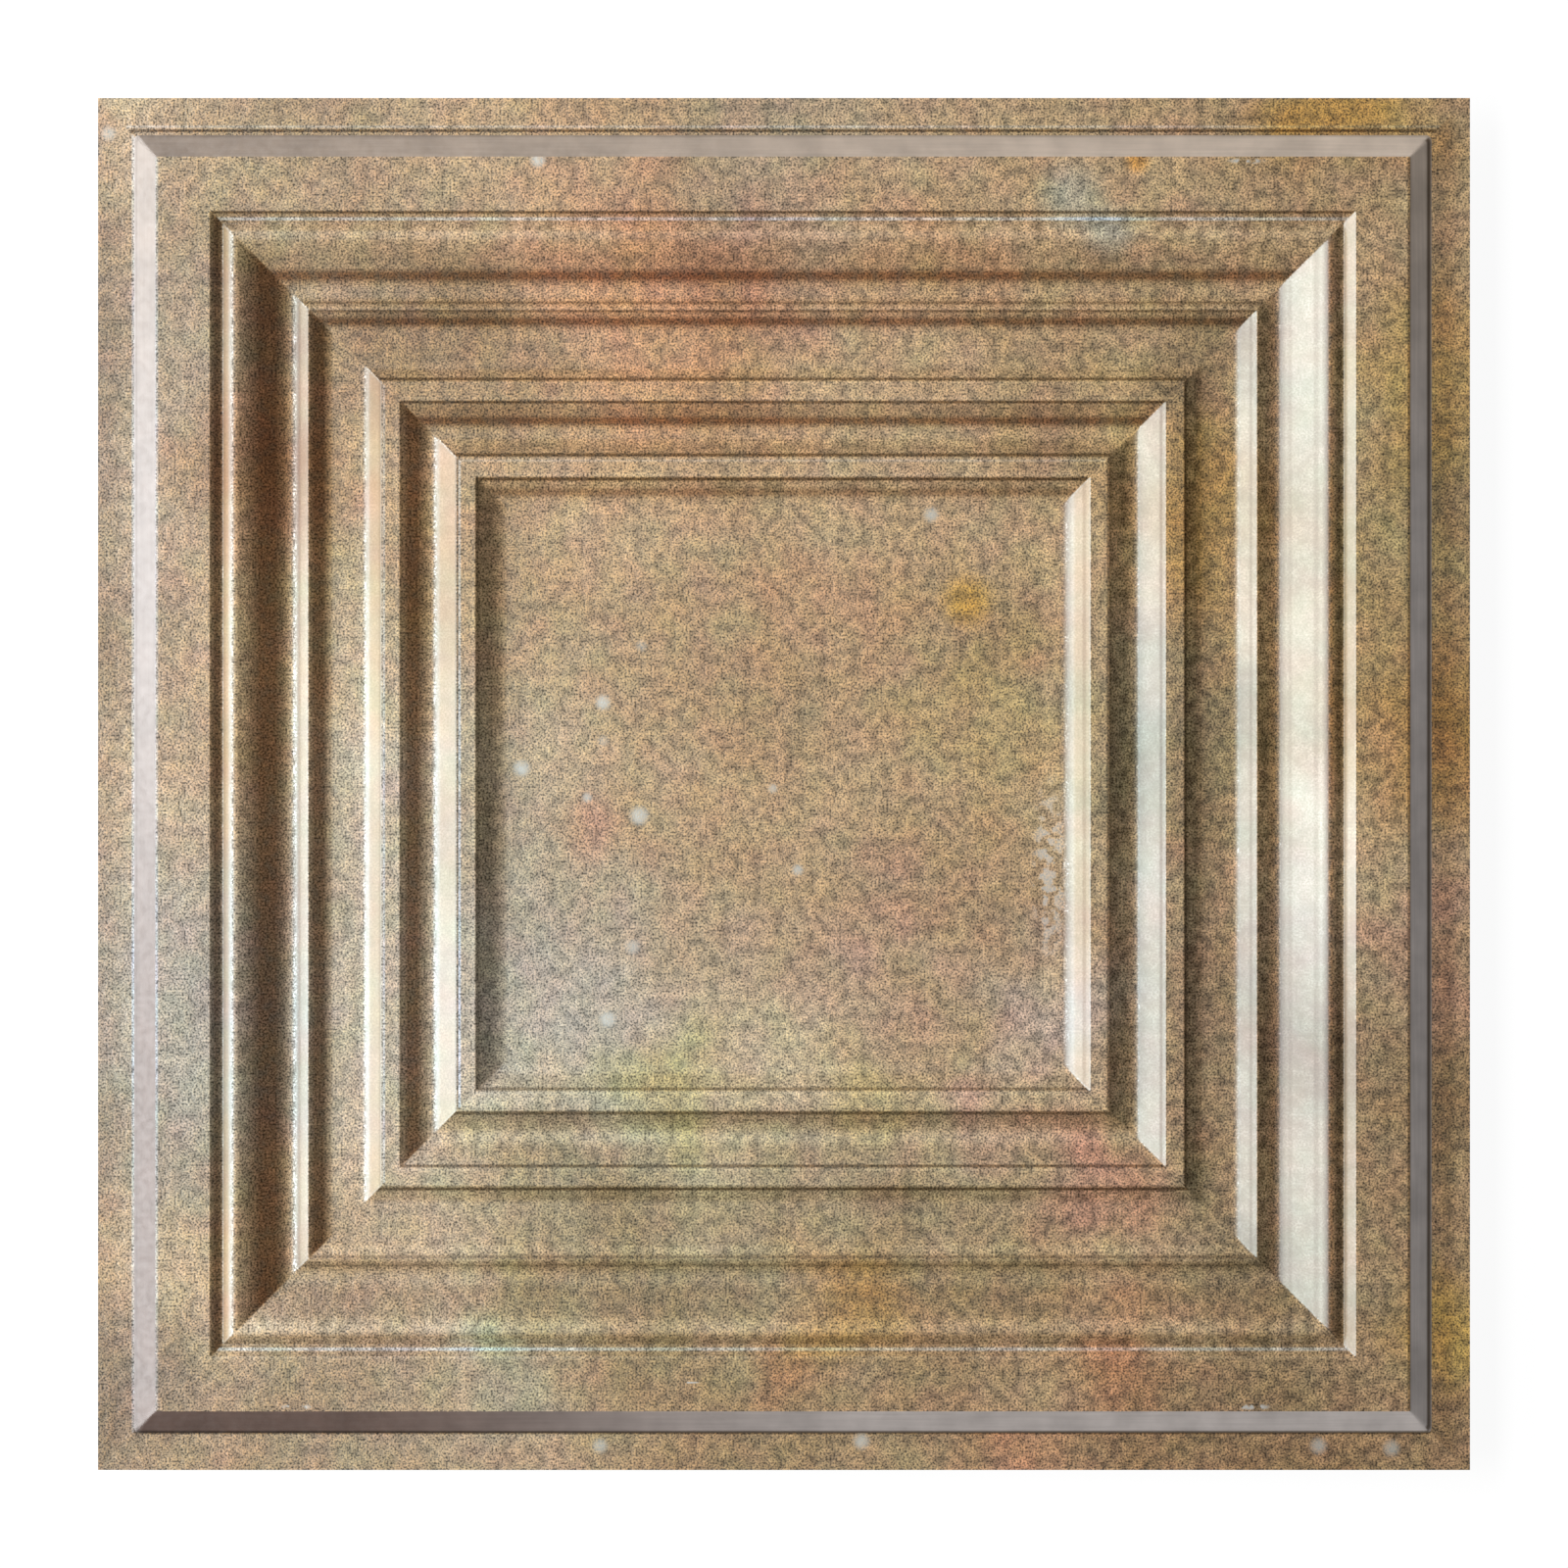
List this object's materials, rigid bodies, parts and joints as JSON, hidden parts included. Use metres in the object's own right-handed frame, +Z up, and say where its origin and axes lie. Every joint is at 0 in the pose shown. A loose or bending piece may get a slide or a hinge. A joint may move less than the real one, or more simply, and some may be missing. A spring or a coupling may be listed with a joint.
{
  "type": "ceiling tile",
  "caption": "Square lay-in ceiling tile of thin formed plastic, with nested square mouldings around a sunk flat panel and an aged bronze face; drops into a suspended grid.",
  "frame": {"origin": "under the middle of the panel, on the plane that the panel's back rests on", "axes": "+Z up out of the decorated face; +X and +Y along two sides of the square"},
  "size_m": [0.6032, 0.6032, 0.02],
  "materials": {
    "patina_face": "satin"
  },
  "bodies": {
    "root": {"ceiling_tile": "patina_face"}
  },
  "joints": []
}
